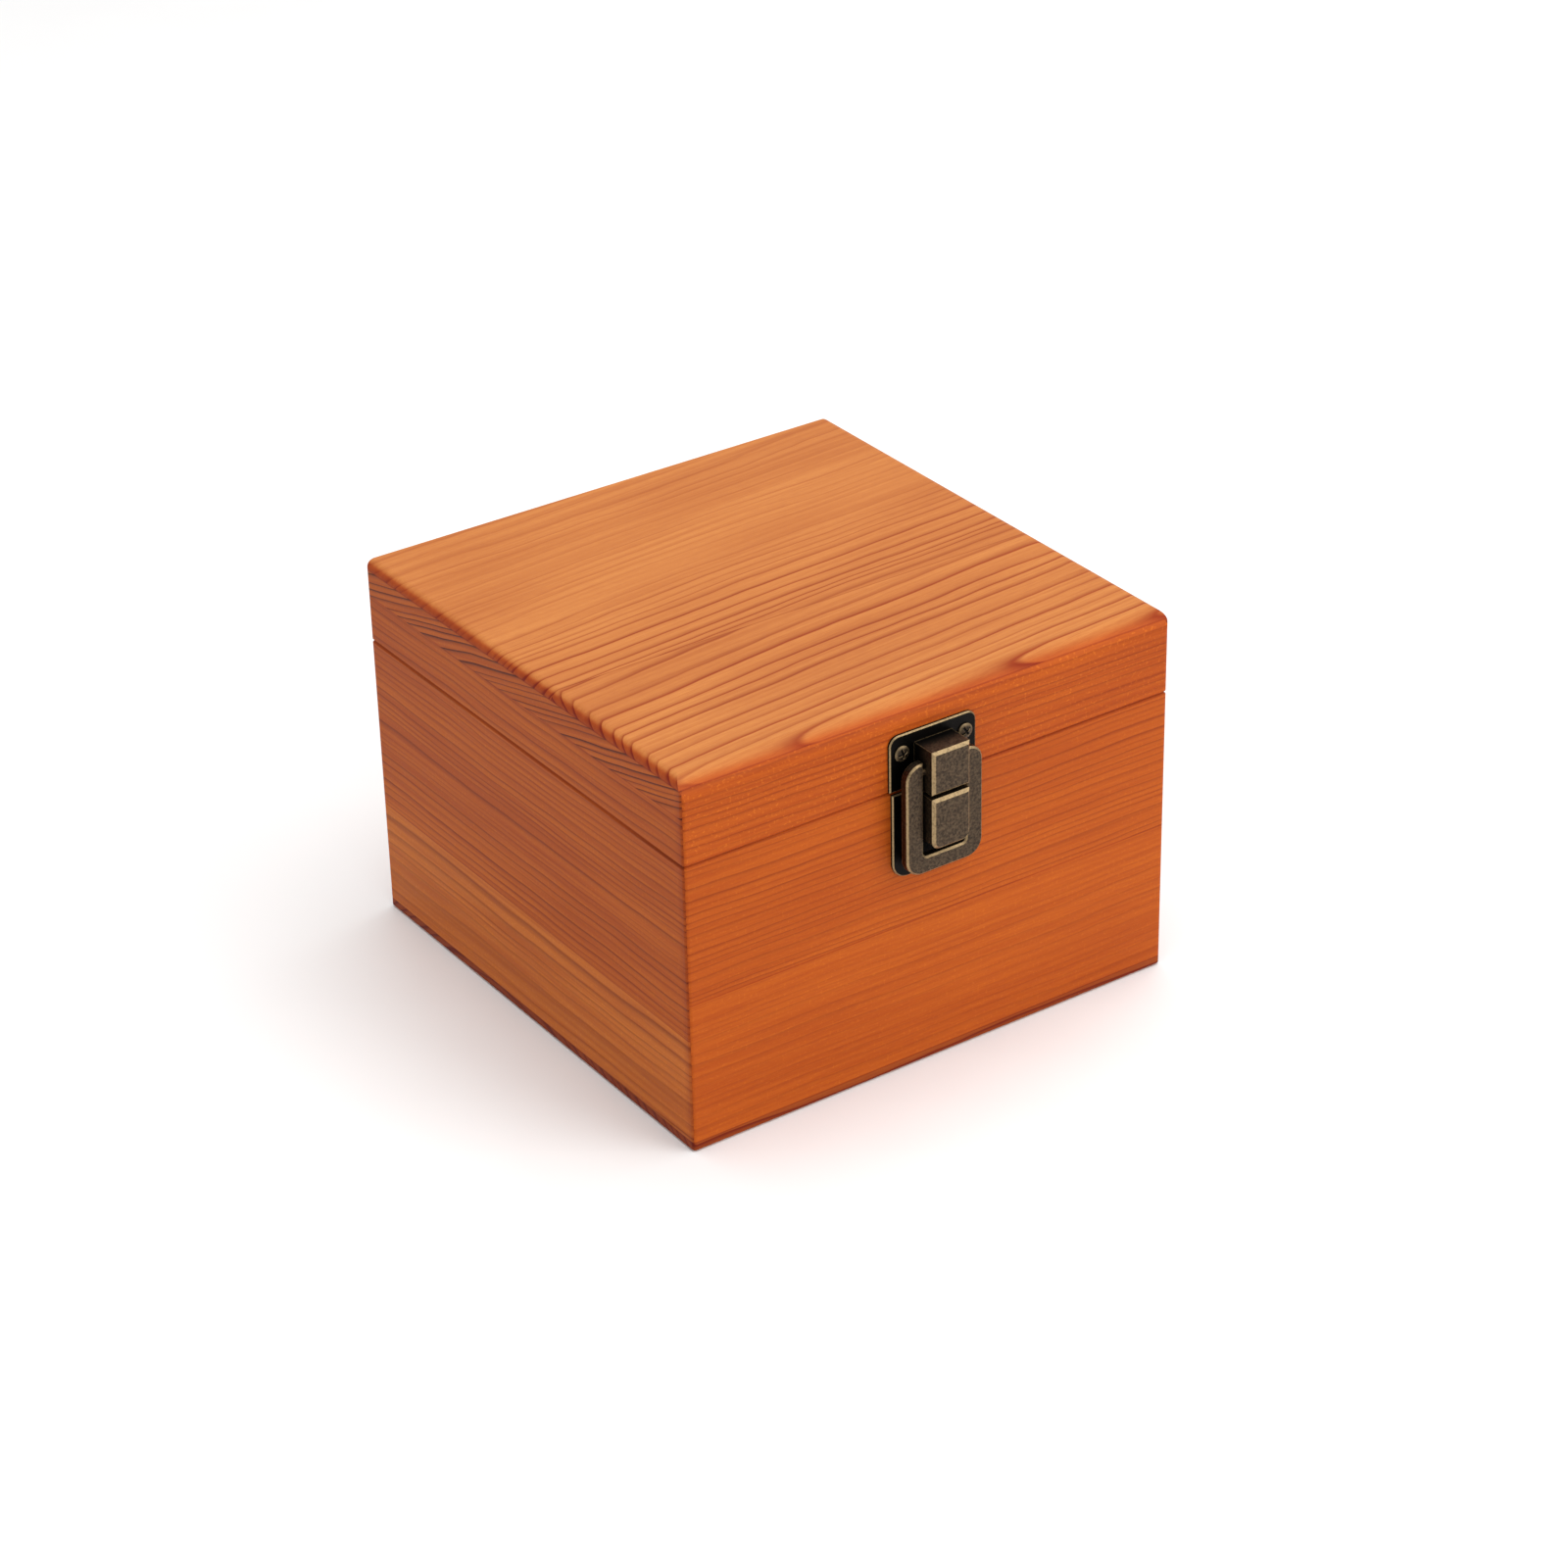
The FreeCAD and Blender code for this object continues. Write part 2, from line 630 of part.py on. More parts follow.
# Checks and export
doc.recompute()
for obj in doc.Objects:
    if "Invalid" in obj.State or "Error" in obj.State:
        raise RuntimeError(f"{obj.Name} is in state {obj.State}")
os.makedirs("parts", exist_ok=True)
for obj in NODES:
    shape = obj.Shape
    if shape.isNull() or not shape.isValid() or not shape.Solids:
        raise RuntimeError(f"{obj.Label} has no valid solid")
    shape.exportStep(f"parts/{obj.Label}.step")
    box = shape.BoundBox
    print(
        obj.Label,
        len(shape.Solids),
        [round(v, 2) for v in (box.XMin, box.XMax, box.YMin, box.YMax, box.ZMin, box.ZMax)],
        round(shape.Volume, 1),
    )
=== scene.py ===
import math

import bmesh
import bpy
import numpy as np
from mathutils import Matrix, Vector


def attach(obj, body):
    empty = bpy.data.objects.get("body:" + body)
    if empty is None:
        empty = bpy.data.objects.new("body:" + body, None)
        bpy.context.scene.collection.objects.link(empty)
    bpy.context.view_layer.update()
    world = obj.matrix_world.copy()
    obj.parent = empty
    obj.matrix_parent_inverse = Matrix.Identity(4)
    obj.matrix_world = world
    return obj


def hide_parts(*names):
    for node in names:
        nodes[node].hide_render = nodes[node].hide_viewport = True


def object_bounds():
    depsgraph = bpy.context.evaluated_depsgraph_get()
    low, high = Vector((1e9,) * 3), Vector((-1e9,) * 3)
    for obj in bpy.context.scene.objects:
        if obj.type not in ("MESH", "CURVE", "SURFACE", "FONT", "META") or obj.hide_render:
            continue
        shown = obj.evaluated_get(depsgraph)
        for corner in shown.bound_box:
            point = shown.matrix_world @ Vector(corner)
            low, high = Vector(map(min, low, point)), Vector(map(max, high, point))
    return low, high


mm = 0.001  # sizes below are in millimetres, the frame is in metres
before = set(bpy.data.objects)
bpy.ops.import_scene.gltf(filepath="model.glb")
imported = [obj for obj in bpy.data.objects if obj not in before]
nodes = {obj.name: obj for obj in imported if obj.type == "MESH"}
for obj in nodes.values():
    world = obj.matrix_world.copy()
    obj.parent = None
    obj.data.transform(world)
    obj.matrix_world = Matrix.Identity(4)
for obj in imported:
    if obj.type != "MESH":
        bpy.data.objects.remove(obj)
cadLow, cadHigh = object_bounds()
scene = bpy.context.scene


# Camera: forward comes from yaw and pitch, right lies level, and the roll turns right and up about forward
shot = {
    "place": (-0.58062, -0.86274, 0.63664),
    "yaw": 34.22,
    "pitch": -29.44,
    "roll": -1.31,
    "lens": 96.53,
    "sensor": 36.0,
    "nearest": 0.01,
}


def setCamera(shot):
    yaw, pitch, roll = (math.radians(shot[k]) for k in ("yaw", "pitch", "roll"))
    level = math.cos(pitch)
    forward = Vector((math.sin(yaw) * level, math.cos(yaw) * level, math.sin(pitch)))
    right = Vector((math.cos(yaw), -math.sin(yaw), 0.0))
    up = right.cross(forward)
    rolledRight = math.cos(roll) * right + math.sin(roll) * up
    rolledUp = math.cos(roll) * up - math.sin(roll) * right
    turn = Matrix((rolledRight, rolledUp, -forward)).transposed()
    lens = bpy.data.cameras.new("photoCamera")
    lens.lens = shot["lens"]
    lens.sensor_width = shot["sensor"]
    lens.clip_start = shot["nearest"]
    camera = bpy.data.objects.new("photoCamera", lens)
    camera.matrix_world = Matrix.Translation(shot["place"]) @ turn.to_4x4()
    scene.collection.objects.link(camera)
    scene.camera = camera


setCamera(shot)
print("camera set")


# Node helpers
def addNode(tree, kind, **settings):
    made = tree.nodes.new(kind)
    for name, value in settings.items():
        setattr(made, name, value)
    return made


def feed(tree, socket, value):
    if isinstance(value, bpy.types.NodeSocket):
        tree.links.new(value, socket)
    else:
        socket.default_value = value


def calc(tree, operation, *terms):
    made = addNode(tree, "ShaderNodeMath", operation=operation)
    for socket, term in zip(made.inputs, terms):
        feed(tree, socket, term)
    return made.outputs[0]


def vectorCalc(tree, operation, first, second):
    made = addNode(tree, "ShaderNodeVectorMath", operation=operation)
    feed(tree, made.inputs[0], first)
    feed(tree, made.inputs[1], second)
    return made.outputs["Value" if operation == "DOT_PRODUCT" else "Vector"]


def ramp(tree, value, low, high, toLow=0.0, toHigh=1.0):
    made = addNode(tree, "ShaderNodeMapRange", interpolation_type="SMOOTHSTEP")
    for socket, term in zip(made.inputs, (value, low, high, toLow, toHigh)):
        feed(tree, socket, term)
    return made.outputs[0]


def noise(tree, vector, scale, detail=2.0, roughness=0.5):
    made = addNode(tree, "ShaderNodeTexNoise")
    feed(tree, made.inputs["Vector"], vector)
    feed(tree, made.inputs["Scale"], scale)
    made.inputs["Detail"].default_value = detail
    made.inputs["Roughness"].default_value = roughness
    return made.outputs["Fac"]


def blend(tree, share, first, second, mode="MIX"):
    made = addNode(tree, "ShaderNodeMix", data_type="RGBA", blend_type=mode)
    feed(tree, made.inputs["Factor"], share)
    feed(tree, made.inputs[6], first)
    feed(tree, made.inputs[7], second)
    return made.outputs[2]


def newGroup(name, inputs, outputs):
    tree = bpy.data.node_groups.new(name, "ShaderNodeTree")
    for label, kind in inputs:
        tree.interface.new_socket(name=label, in_out="INPUT", socket_type=kind)
    for label, kind in outputs:
        tree.interface.new_socket(name=label, in_out="OUTPUT", socket_type=kind)
    source = tree.nodes.new("NodeGroupInput").outputs
    sink = tree.nodes.new("NodeGroupOutput").inputs
    return tree, source, sink


def useGroup(tree, group, **values):
    made = addNode(tree, "ShaderNodeGroup", node_tree=group)
    for label, value in values.items():
        feed(tree, made.inputs[label], value)
    return made.outputs


number, vector = "NodeSocketFloat", "NodeSocketVector"
right, back, up = (1.0, 0.0, 0.0), (0.0, 1.0, 0.0), (0.0, 0.0, 1.0)


def linear(red, green, blue):
    values = np.array([red, green, blue]) / 255.0
    lit = np.where(values <= 0.04045, values / 12.92, ((values + 0.055) / 1.055) ** 2.4)
    return (*[float(v) for v in lit], 1.0)


# Growth rings: distance from the pith, pushed about by stretched noise, is cut into rings of uneven width
ringShape = {
    "drift": (0.010, 0.022, 1.0),  # noise per mm along the grain and across it, and its detail
    "ripple": (0.035, 0.07, 2.0),
    "fibre": (0.25, 5.5, 3.0),
    "streak": (0.016, 0.75, 2.0),
    "tone": (0.011, 0.035, 1.0),
    "rippled": 0.3,  # ripple beside a drift of one
    "unevenScale": 0.09,
    "uneven": 2.2,  # how many rings the spacing may wander
    "sharpness": 5.0,
    "lateStop": 0.9,  # share of a ring where the dark wood begins to stop
    "faintest": 0.75,
    "spread": 1.05,
}


def makeGrowthRings(shape):
    inputs = [("Place", vector), ("Spacing", number), ("Wander", number), ("Seed", number)]
    outputs = [("Late", number), ("Fibre", number), ("Streak", number), ("Tone", number)]
    tree, source, sink = newGroup("growthRings", inputs, outputs)
    seeded = vectorCalc(tree, "ADD", source["Place"], source["Seed"])
    split = addNode(tree, "ShaderNodeSeparateXYZ")
    feed(tree, split.inputs[0], source["Place"])

    def stretched(kind):
        along, across, detail = shape[kind]
        squeezed = vectorCalc(tree, "MULTIPLY", seeded, (along, across, across))
        return noise(tree, squeezed, 1.0, detail)

    sideways = calc(tree, "POWER", split.outputs[1], 2.0)
    across = calc(tree, "MULTIPLY_ADD", split.outputs[2], split.outputs[2], sideways)
    drift = calc(tree, "SUBTRACT", stretched("drift"), 0.5)
    ripple = calc(tree, "SUBTRACT", stretched("ripple"), 0.5)
    push = calc(tree, "MULTIPLY_ADD", ripple, shape["rippled"], drift)
    radius = calc(tree, "MULTIPLY_ADD", push, source["Wander"], calc(tree, "SQRT", across))
    uneven = addNode(tree, "ShaderNodeTexNoise", noise_dimensions="1D")
    feed(tree, uneven.inputs["W"], calc(tree, "ADD", radius, source["Seed"]))
    uneven.inputs["Scale"].default_value = shape["unevenScale"]
    uneven.inputs["Detail"].default_value = 1.0
    count = calc(tree, "DIVIDE", radius, source["Spacing"])
    phase = calc(tree, "MULTIPLY_ADD", uneven.outputs["Fac"], shape["uneven"], count)
    part = calc(tree, "FRACT", phase)
    chance = addNode(tree, "ShaderNodeTexWhiteNoise", noise_dimensions="1D")
    feed(tree, chance.inputs["W"], calc(tree, "ADD", calc(tree, "FLOOR", phase), source["Seed"]))
    strength = calc(tree, "MULTIPLY_ADD", chance.outputs["Value"], shape["spread"], shape["faintest"])
    rise = calc(tree, "POWER", part, shape["sharpness"])
    late = calc(tree, "MULTIPLY", rise, ramp(tree, part, shape["lateStop"], 1.0, 1.0, 0.0))
    feed(tree, sink["Late"], calc(tree, "MULTIPLY", late, strength))
    feed(tree, sink["Fibre"], stretched("fibre"))
    feed(tree, sink["Streak"], stretched("streak"))
    feed(tree, sink["Tone"], stretched("tone"))
    return tree


# Joint and shade line: one within a hair's width of a flat plane, nothing away from it; it draws glue lines
# and painted shade lines
def makeJointAndShadeLine():
    inputs = [("Place", vector), ("Facing", vector), ("Offset", number), ("Width", number)]
    tree, source, sink = newGroup("jointAndShadeLine", inputs, [("Line", number)])
    along = vectorCalc(tree, "DOT_PRODUCT", source["Place"], source["Facing"])
    off = calc(tree, "ABSOLUTE", calc(tree, "SUBTRACT", along, source["Offset"]))
    feed(tree, sink["Line"], ramp(tree, off, 0.0, source["Width"], 1.0, 0.0))
    return tree


# Turned to: how squarely the surface looks along a direction of the piece, or against it
def makeTurnedTo():
    tree, source, sink = newGroup("turnedTo", [("Facing", vector)], [("Share", number)])
    normal = addNode(tree, "ShaderNodeTexCoord").outputs["Normal"]
    share = calc(tree, "ABSOLUTE", vectorCalc(tree, "DOT_PRODUCT", normal, source["Facing"]))
    feed(tree, sink["Share"], share)
    return tree


# Rubbed edges and painted highlights: bevels that look half forward and half aside, painted brass as a
# highlight, and worn spots where a rounded normal leaves the face's own
wearAndHighlightShape = {
    "samples": 8,
    "mottleScale": 1400.0,
    "mottleDetail": 4.0,
    "mottleRough": 0.65,
    "patch": 0.16,
    "edge": (0.03, 0.16),
    "edgeShare": 0.7,
    "bevelStart": (0.3, 0.6),
    "bevelStop": (0.85, 0.97),
}


def makeRubbedEdgesAndHighlights(shape):
    inputs = [("Place", vector), ("Reach", number)]
    tree, source, sink = newGroup("rubbedEdgesAndHighlights", inputs, [("RubbedAndHighlit", number), ("Mottle", number)])
    rounded = addNode(tree, "ShaderNodeBevel", samples=shape["samples"])
    feed(tree, rounded.inputs["Radius"], source["Reach"])
    true = addNode(tree, "ShaderNodeNewGeometry").outputs["Normal"]
    turned = calc(tree, "SUBTRACT", 1.0, vectorCalc(tree, "DOT_PRODUCT", rounded.outputs[0], true))
    mottle = noise(tree, source["Place"], shape["mottleScale"], shape["mottleDetail"], shape["mottleRough"])
    patchy = calc(tree, "MULTIPLY_ADD", mottle, shape["patch"], -shape["patch"] / 2)
    edge = ramp(tree, calc(tree, "ADD", turned, patchy), *shape["edge"])
    normal = addNode(tree, "ShaderNodeTexCoord").outputs["Normal"]
    forward = calc(tree, "ABSOLUTE", vectorCalc(tree, "DOT_PRODUCT", normal, back))
    start = ramp(tree, forward, *shape["bevelStart"])
    stop = ramp(tree, forward, *shape["bevelStop"], 1.0, 0.0)
    # The bevel share is a painted highlight, the edge share is wear
    bevel = calc(tree, "MULTIPLY", start, stop)
    feed(tree, sink["RubbedAndHighlit"], calc(tree, "MAXIMUM", bevel, calc(tree, "MULTIPLY", edge, shape["edgeShare"])))
    feed(tree, sink["Mottle"], mottle)
    return tree


growthRings = makeGrowthRings(ringShape)
jointAndShadeLine = makeJointAndShadeLine()
turnedTo = makeTurnedTo()
rubbedEdgesAndHighlights = makeRubbedEdgesAndHighlights(wearAndHighlightShape)
print("shared effects built")


def newMaterial(name):
    material = bpy.data.materials.new(name)
    material.use_nodes = True
    tree = material.node_tree
    tree.nodes.clear()
    shader = tree.nodes.new("ShaderNodeBsdfPrincipled")
    tree.links.new(shader.outputs[0], tree.nodes.new("ShaderNodeOutputMaterial").inputs["Surface"])
    coordinates = tree.nodes.new("ShaderNodeTexCoord").outputs["Object"]
    return material, tree, shader, coordinates


def addBump(tree, shader, height, strength, distance):
    bump = addNode(tree, "ShaderNodeBump")
    bump.inputs["Strength"].default_value = strength
    bump.inputs["Distance"].default_value = distance * mm
    feed(tree, bump.inputs["Height"], height)
    feed(tree, shader.inputs["Normal"], bump.outputs[0])


# Wood: late wood darkens early wood, and tone, streaks, fibre and specks then shade both
woodFinish = {
    "ends": (0.45, 0.95),  # how squarely a face looks along the grain before it counts as end grain
    "endBold": 1.1,
    "endDark": 0.3,
    "steep": (0.6, 0.97),
    "tone": (0.3, 0.7),
    "streak": (0.3, 0.72),
    "fibre": (0.25, 0.75, 0.9, 1.08),
    "speckScale": 1100.0,
    "speck": (0.56, 0.74),
    "redder": (0.7, 1.3, 1.6),  # powers for red, green and blue: darker wood is redder wood
    "roughness": (0.2, 0.8, 0.42, 0.6),
    "specular": 0.12,
    "fibreHeight": 0.5,
    "lateHeight": 0.6,
    "bumpStrength": 0.15,
    "bumpDistance": 0.15,
}


def makeWood(name, look, finish):
    material, tree, shader, coordinates = newMaterial(name)
    turn = math.radians(90.0 if look["grain"] == "y" else 0.0)
    rise, swing = (math.radians(a) for a in look["tilt"])
    laid = addNode(tree, "ShaderNodeMapping", vector_type="TEXTURE")
    feed(tree, laid.inputs["Vector"], coordinates)
    laid.inputs["Location"].default_value = [v * mm for v in look["pith"]]
    laid.inputs["Rotation"].default_value = (0.0, rise, turn + swing)
    laid.inputs["Scale"].default_value = (mm, mm, mm)
    field = {"Spacing": look["ring"], "Wander": look["wander"], "Seed": look["seed"]}
    rings = useGroup(tree, growthRings, Place=laid.outputs[0], **field)
    along = back if look["grain"] == "y" else right
    ends = ramp(tree, useGroup(tree, turnedTo, Facing=along)["Share"], *finish["ends"])
    bold = calc(tree, "MULTIPLY_ADD", ends, finish["endBold"], look["contrast"])
    late = calc(tree, "MULTIPLY", rings["Late"], bold)
    for facing, start, stop, kept in look["fades"]:  # the lines grow fainter from start to stop
        depth = vectorCalc(tree, "DOT_PRODUCT", coordinates, facing)
        late = calc(tree, "MULTIPLY", late, ramp(tree, depth, start * mm, stop * mm, 1.0, kept))
    colour = blend(tree, late, linear(*look["early"]), linear(*look["late"]))
    level = useGroup(tree, turnedTo, Facing=up)["Share"]
    steep = ramp(tree, level, *finish["steep"], 1.0, 0.0)  # painted shade: sloping and upright faces are darkened by the edge colour towards the walls' tone in shade
    colour = blend(tree, steep, colour, look["edge"], "MULTIPLY")
    toned = ramp(tree, rings["Tone"], *finish["tone"], 1.0 - look["patchy"], 1.0 + look["patchy"])
    streaked = ramp(tree, rings["Streak"], *finish["streak"], 1.0 + look["streaky"], 1.0 - look["streaky"])
    fibrous = ramp(tree, rings["Fibre"], *finish["fibre"])
    shade = calc(tree, "MULTIPLY", calc(tree, "MULTIPLY", toned, streaked), fibrous)
    shade = calc(tree, "MULTIPLY", shade, calc(tree, "MULTIPLY_ADD", ends, -finish["endDark"], 1.0))
    grit = noise(tree, coordinates, finish["speckScale"], 1.0)
    shade = calc(tree, "MULTIPLY", shade, ramp(tree, grit, *finish["speck"], 1.0, 1.0 + look["specks"]))
    for facing, offset, width, depth in look["joints"]:  # dark lines along glue joints, and painted shade in the lid's parting gap and along the side walls' front corners
        place = {"Place": coordinates, "Facing": facing, "Offset": offset * mm, "Width": width * mm}
        line = useGroup(tree, jointAndShadeLine, **place)["Line"]
        if facing == up:  # level faces at a joint's height stay clear of it
            line = calc(tree, "MULTIPLY", line, steep)
        shade = calc(tree, "MULTIPLY", shade, calc(tree, "MULTIPLY_ADD", line, -depth, 1.0))
    tint = addNode(tree, "ShaderNodeCombineColor")
    for socket, power in zip(tint.inputs, finish["redder"]):
        feed(tree, socket, calc(tree, "POWER", shade, power))
    feed(tree, shader.inputs["Base Color"], blend(tree, 1.0, colour, tint.outputs[0], "MULTIPLY"))
    feed(tree, shader.inputs["Roughness"], ramp(tree, rings["Fibre"], *finish["roughness"]))
    shader.inputs["Specular IOR Level"].default_value = finish["specular"]
    lines = calc(tree, "MULTIPLY", rings["Late"], finish["lateHeight"])
    height = calc(tree, "MULTIPLY_ADD", rings["Fibre"], finish["fibreHeight"], lines)
    addBump(tree, shader, height, finish["bumpStrength"], finish["bumpDistance"])
    return material


# Boards: grain along x or y, pith and rings in mm, colours from 0 to 255
# Fades, glue lines and painted shade lines go by the direction of a plane and its distance in mm
frontBoard = {
    "grain": "x",
    "pith": (0.0, -60.0, -300.0),
    "tilt": (0.4, 0.0),
    "ring": 2.3,
    "wander": 5.0,
    "seed": 52.0,
    "contrast": 0.6,
    "early": (173, 78, 15),
    "late": (112, 38, 5),
    "edge": (1.0, 1.0, 1.0, 1.0),
    "patchy": 0.05,
    "streaky": 0.09,
    "specks": 0.15,
    "fades": [],
    # The dark line at 88 mm is painted shade in the parting gap between lid and body
    "joints": [(up, 88.0, 0.9, 0.4)],
}
backBoard = {**frontBoard, "pith": (0.0, 60.0, -280.0), "seed": 58.0}
leftBoard = {
    **frontBoard,
    "grain": "y",
    "pith": (-60.0, 0.0, -260.0),
    "seed": 82.0,
    "contrast": 0.8,
    "early": (169, 79, 18),
    "late": (104, 38, 6),
    "streaky": 0.14,
    # The 4 mm band at the front corner is painted shade along the arris, and the line at 88 mm is painted
    # shade in the parting gap
    "joints": [(back, -80.0, 4.0, 0.3), (up, 88.0, 0.9, 0.4)],
}
rightBoard = {**leftBoard, "pith": (60.0, 0.0, -290.0), "seed": 111.0}
# The top wood is lighter and yellower than the walls': partly the boards' own tone, partly painted light and
# sheen from above
topBoard = {
    **frontBoard,
    "ring": 2.7,
    "contrast": 1.05,
    "early": (183, 110, 54),
    "late": (138, 52, 14),
    "patchy": 0.09,
    "specks": 0.03,
    # Painted shade: this colour darkens the top wood's rounded and upright faces towards the walls' tone
    "edge": (0.86, 0.48, 0.25, 1.0),
    "joints": [(back, -18.0, 0.35, 0.35), (up, 110.4, 0.3, 0.35)],
}


glueLine = {"width": 0.35, "depth": 0.35}


def glued(board, *levels, **changes):
    lines = [(up, z, glueLine["width"], glueLine["depth"]) for z in levels]
    return {**board, **changes, "joints": board["joints"] + lines}


boards = {
    "lid_top_front_board": {
        **topBoard,
        "pith": (0.0, 53.0, -64.5),
        "tilt": (0.0, 5.0),
        "wander": 3.6,
        "seed": 11.0,
    },
    "lid_top_back_board": {
        **topBoard,
        "pith": (0.0, 128.0, 190.0),
        "tilt": (0.0, 4.0),
        "ring": 3.2,
        "wander": 6.0,
        "seed": 27.0,
        "streaky": 0.08,
        "fades": [(back, -12.0, 35.0, 0.4)],
    },
    "lid_front_rail": glued(frontBoard, 110.4, early=(170, 74, 13), streaky=0.14, specks=0.35),
    "front_wall_upper_board": glued(frontBoard, 46.0),
    "front_wall_lower_board": glued(frontBoard, 46.0, 3.0, seed=63.0, ring=3.0, contrast=0.3),
    "lid_back_rail": glued(backBoard, 110.4),
    "back_wall_upper_board": glued(backBoard, 50.0),
    "back_wall_lower_board": glued(backBoard, 50.0, 3.0, seed=67.0, ring=3.1),
    "lid_left_upper_rail": glued(
        leftBoard, 102.2, 110.4, seed=71.0, tilt=(14.0, 0.0), ring=1.9, contrast=1.6, late=(86, 32, 7)
    ),
    "lid_left_rail": glued(leftBoard, 102.2),
    "left_wall_upper_board": glued(leftBoard, 35.0),
    "left_wall_lower_board": glued(
        leftBoard, 35.0, 3.0, seed=95.0, ring=4.2, contrast=0.65, early=(180, 94, 31), late=(108, 43, 10)
    ),
    "lid_right_rail": glued(rightBoard, 110.4),
    "right_wall_upper_board": glued(rightBoard, 41.0),
    "right_wall_lower_board": glued(rightBoard, 41.0, 3.0, seed=123.0, pith=(60.0, 0.0, 330.0), ring=3.4),
    # The bottom board takes the light top wood, with its visible edge darkened by painted shade
    "bottom_board": glued(topBoard, 3.0, seed=131.0, pith=(0.0, 20.0, -80.0), edge=(0.6, 0.33, 0.16, 1.0)),
}


def dress(name, material):
    slots = nodes[name].data.materials
    slots.clear()
    slots.append(material)


for name, look in boards.items():
    dress(name, makeWood(name + "_wood", look, woodFinish))
print("boards dressed:", len(boards))


# Antique bronze: dark brown metal, near black where it lies deep (its dark patina, with painted shade),
# rubbed bright along its edges (worn brass, with a painted highlight on the bevels)
bronzeFinish = {
    "stain": (0.3, 0.7),
    "thin": (0.3, 0.6, 0.55, 1.0),
    "roughSpan": 0.25,
    "metallic": 0.9,
    "specular": 0.3,
    "bumpStrength": 0.35,
    "bumpDistance": 0.08,
}


def makeBronze(name, look, finish):
    material, tree, shader, coordinates = newMaterial(name)
    wear = useGroup(tree, rubbedEdgesAndHighlights, Place=coordinates, Reach=look["reach"] * mm)
    stain = ramp(tree, wear["Mottle"], *finish["stain"])
    face = blend(tree, stain, linear(*look["dark"]), linear(*look["pale"]))
    # Painted shade with the patina: the metal turns near black as it comes close to the wood
    out = calc(tree, "ABSOLUTE", vectorCalc(tree, "DOT_PRODUCT", coordinates, back))
    deep = ramp(tree, out, look["deep"][0] * mm, look["deep"][1] * mm, 1.0, 0.0)
    face = blend(tree, deep, face, linear(*look["black"]))
    thin = ramp(tree, wear["Mottle"], *finish["thin"])
    # Brass on worn edges, and a painted highlight on the bevels
    wornAndHighlit = calc(tree, "MULTIPLY", calc(tree, "MULTIPLY", wear["RubbedAndHighlit"], look["rubbedAndHighlit"]), thin)
    coloured = blend(tree, wornAndHighlit, face, linear(*look["brass"]))
    if look["cut"]:  # the cross recess stays dark
        recess = addNode(tree, "ShaderNodeAttribute", attribute_name="recess").outputs["Fac"]
        coloured = blend(tree, recess, coloured, linear(*look["black"]))
    feed(tree, shader.inputs["Base Color"], coloured)
    rough = calc(tree, "MULTIPLY_ADD", wear["Mottle"], finish["roughSpan"], look["dull"])
    feed(tree, shader.inputs["Roughness"], rough)
    shader.inputs["Metallic"].default_value = finish["metallic"]
    shader.inputs["Specular IOR Level"].default_value = finish["specular"]
    addBump(tree, shader, wear["Mottle"], finish["bumpStrength"], finish["bumpDistance"])
    return material


latchLook = {
    "dark": (46, 37, 30),
    "pale": (92, 76, 59),
    "black": (14, 11, 9),
    "brass": (176, 150, 110),
    "deep": (82.0, 87.0),
    "reach": 0.5,
    "rubbedAndHighlit": 0.8,
    "dull": 0.28,
    "cut": False,
}
hingeLook = {**latchLook, "deep": (60.0, 70.0), "dark": (44, 35, 28), "pale": (86, 71, 55)}
screwLook = {
    **hingeLook,
    "dark": (34, 28, 23),
    "pale": (62, 51, 41),
    "reach": 0.3,
    "rubbedAndHighlit": 0.5,
    "cut": True,
}
latchBronze = makeBronze("latchBronze", latchLook, bronzeFinish)
hingeBronze = makeBronze("hingeBronze", hingeLook, bronzeFinish)
screwBronze = makeBronze("screwBronze", screwLook, bronzeFinish)
latchNodes = ["latch_strike_plate", "latch_catch_plate", "latch_hasp", "latch_hasp_pin"]
hingeKinds = ("box_leaf", "lid_leaf", "pin")
hingeNodes = [side + "_hinge_" + kind for side in ("left", "right") for kind in hingeKinds]
for name in latchNodes:
    dress(name, latchBronze)
for name in hingeNodes:
    dress(name, hingeBronze)
print("metal dressed:", len(latchNodes) + len(hingeNodes))


# Mesh from a grid of points, rows by columns; closed ones join their last column to the first
def gridMesh(name, points, material, closed=True):
    rows, columns = points.shape[-3:-1]
    grids = points.reshape(-1, rows, columns, 3)
    index = np.arange(grids.size // 3).reshape(-1, rows, columns)
    here = index if closed else index[:, :, :-1]
    after = np.roll(index, -1, axis=2) if closed else index[:, :, 1:]
    quads = np.stack([here[:, :-1], here[:, 1:], after[:, 1:], after[:, :-1]], axis=-1).reshape(-1, 4)
    mesh = bpy.data.meshes.new(name)
    mesh.from_pydata(grids.reshape(-1, 3).tolist(), [], quads.tolist())
    mesh.materials.append(material)
    made = bpy.data.objects.new(name, mesh)
    scene.collection.objects.link(made)
    return made


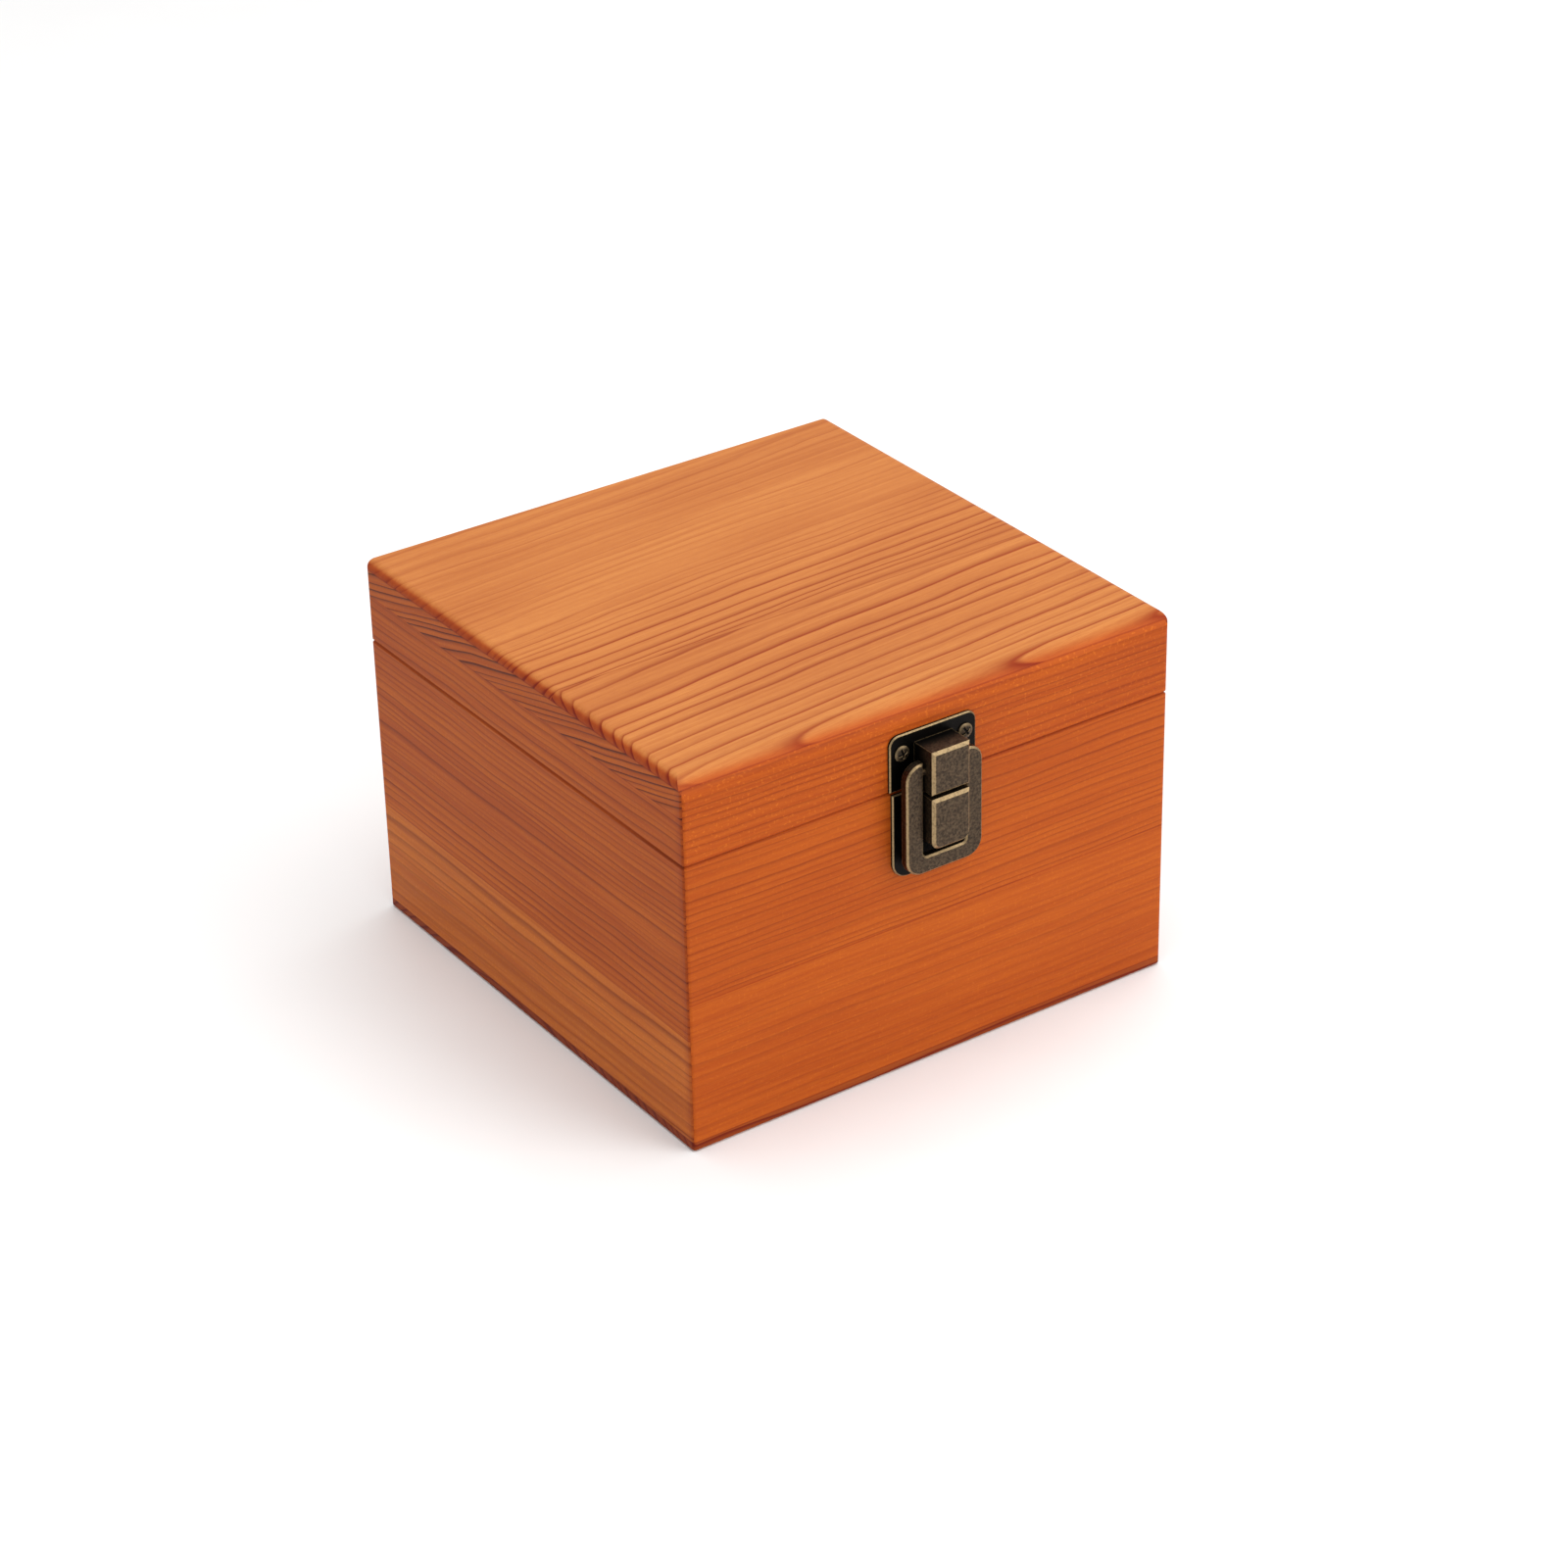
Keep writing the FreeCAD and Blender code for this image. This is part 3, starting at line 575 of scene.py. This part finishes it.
# Screws: a crowned head, its height falling with the square of the radius, a cross sunk into it, and a shank
screwShape = {
    "radius": 2.3,
    "rim": 0.35,
    "height": 0.98,
    "shank": 1.15,
    "length": 7.0,
    "arm": 1.45,
    "slot": 0.30,
    "depth": 0.55,
    "soft": 0.14,
    "taper": 0.4,
    "rings": 31,
    "sides": 96,
}
screwPlaces = {
    "lid": [(-11.4, -81.0, 99.6, 14), (9.4, -81.0, 99.6, 31)]
    + [(x, 81.0, 96.6, t) for x, t in ((-51.5, 8), (-38.5, 52), (38.5, 27), (51.5, 71))],
    "box": [(-9.0, -81.0, 68.0, 40), (7.0, -81.0, 68.0, 5)]
    + [(x, 81.0, 79.4, t) for x, t in ((-51.5, 33), (-38.5, 12), (38.5, 64), (51.5, 45))],
}


def makeScrews(body, shape, places, material):
    spread = np.linspace(0.0, 1.0, shape["rings"])
    angle = np.linspace(0.0, 2 * np.pi, shape["sides"], endpoint=False)
    r, a = np.meshgrid(spread * shape["radius"], angle, indexing="ij")
    u, v = r * np.cos(a), r * np.sin(a)

    def inside(distance):  # one inside the slot, nothing outside, with a soft wall
        return np.clip(distance / shape["soft"] + 0.5, 0.0, 1.0)

    slots = [inside(shape["slot"] - abs(p)) * inside(shape["arm"] - abs(q)) for p, q in ((u, v), (v, u))]
    recess = np.maximum(*slots)
    crown = shape["rim"] + (shape["height"] - shape["rim"]) * (1.0 - (r / shape["radius"]) ** 2)
    sink = recess * shape["depth"] * (1.0 - shape["taper"] * r / shape["arm"])
    head = np.stack([u, v, crown - sink], axis=-1)
    thick, tip = shape["shank"], -shape["length"]
    below = [(shape["radius"], 0.0), (thick, 0.0), (thick, tip), (0.0, tip)]
    wide, level = np.array(below).T[:, :, None] + np.zeros_like(angle)
    stem = np.stack([wide * np.cos(angle), wide * np.sin(angle), level], axis=-1)
    one = np.concatenate([head, stem])
    sunk = np.concatenate([recess, np.zeros((len(below), len(angle)))])
    x, y, z, turn = np.array(places, float).T[:, :, None, None]
    turn = np.radians(turn)
    side = -np.sign(y)  # screws in front look along -y, those behind along +y
    across = one[..., 0] * np.cos(turn) - one[..., 1] * np.sin(turn)
    rise = one[..., 0] * np.sin(turn) + one[..., 1] * np.cos(turn)
    points = np.stack([x + side * across, y - side * one[..., 2], z + rise], axis=-1) * mm
    made = gridMesh(body + "_screw_heads", points, material)
    mark = made.data.attributes.new("recess", "FLOAT", "POINT")
    mark.data.foreach_set("value", np.tile(sunk.ravel(), len(places)).astype(np.float32))
    shell = bmesh.new()
    shell.from_mesh(made.data)
    bmesh.ops.remove_doubles(shell, verts=shell.verts, dist=1e-7)
    shell.to_mesh(made.data)
    shell.free()
    made.data.polygons.foreach_set("use_smooth", [True] * len(made.data.polygons))
    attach(made, body)
    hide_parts(body + "_screws")


for body, places in screwPlaces.items():
    makeScrews(body, screwShape, places, screwBronze)
print("screws made:", sum(len(p) for p in screwPlaces.values()))


# Floor: a flat grid under the box, pale all over
floorLook = {
    "half": 3.0,
    "lines": 9,
    "colour": (0.86, 0.855, 0.85, 1.0),
    "grainScale": 40.0,
    "roughness": (0.3, 0.7, 0.55, 0.65),
}


def makeFloor(look):
    side = np.linspace(-look["half"], look["half"], look["lines"])
    x, y = np.meshgrid(side, side)
    points = np.stack([x, y, np.full_like(x, cadLow.z)], axis=-1)
    material, tree, shader, coordinates = newMaterial("paleFloor")
    grain = noise(tree, coordinates, look["grainScale"])
    feed(tree, shader.inputs["Roughness"], ramp(tree, grain, *look["roughness"]))
    shader.inputs["Base Color"].default_value = look["colour"]
    floor = gridMesh("floor", points, material, closed=False)


makeFloor(floorLook)

# Light: a wide box overhead, a weaker one in front to the right, and an even white sky
lights = {
    "overhead": {"place": (0.15, -0.05, 1.5), "aim": (0.0, 0.0, 0.05), "size": 1.4, "power": 16.0},
    "front": {"place": (0.9, -1.4, 0.8), "aim": (0.0, 0.0, 0.05), "size": 1.2, "power": 14.0},
}
sky = {"colour": (1.0, 1.0, 1.0, 1.0), "strength": 0.75}


def setLights(lights, sky):
    for name, look in lights.items():
        lamp = bpy.data.lights.new(name, "AREA")
        lamp.energy = look["power"]
        lamp.size = look["size"]
        made = bpy.data.objects.new(name, lamp)
        aim = Vector(look["aim"]) - Vector(look["place"])
        made.location = look["place"]
        made.rotation_euler = aim.to_track_quat("-Z", "Y").to_euler()
        scene.collection.objects.link(made)
    world = bpy.data.worlds.new("studio")
    world.use_nodes = True
    glow = world.node_tree.nodes["Background"].inputs
    glow["Color"].default_value = sky["colour"]
    glow["Strength"].default_value = sky["strength"]
    scene.world = world


setLights(lights, sky)
scene.view_settings.view_transform = "Standard"
print("floor and lights set")
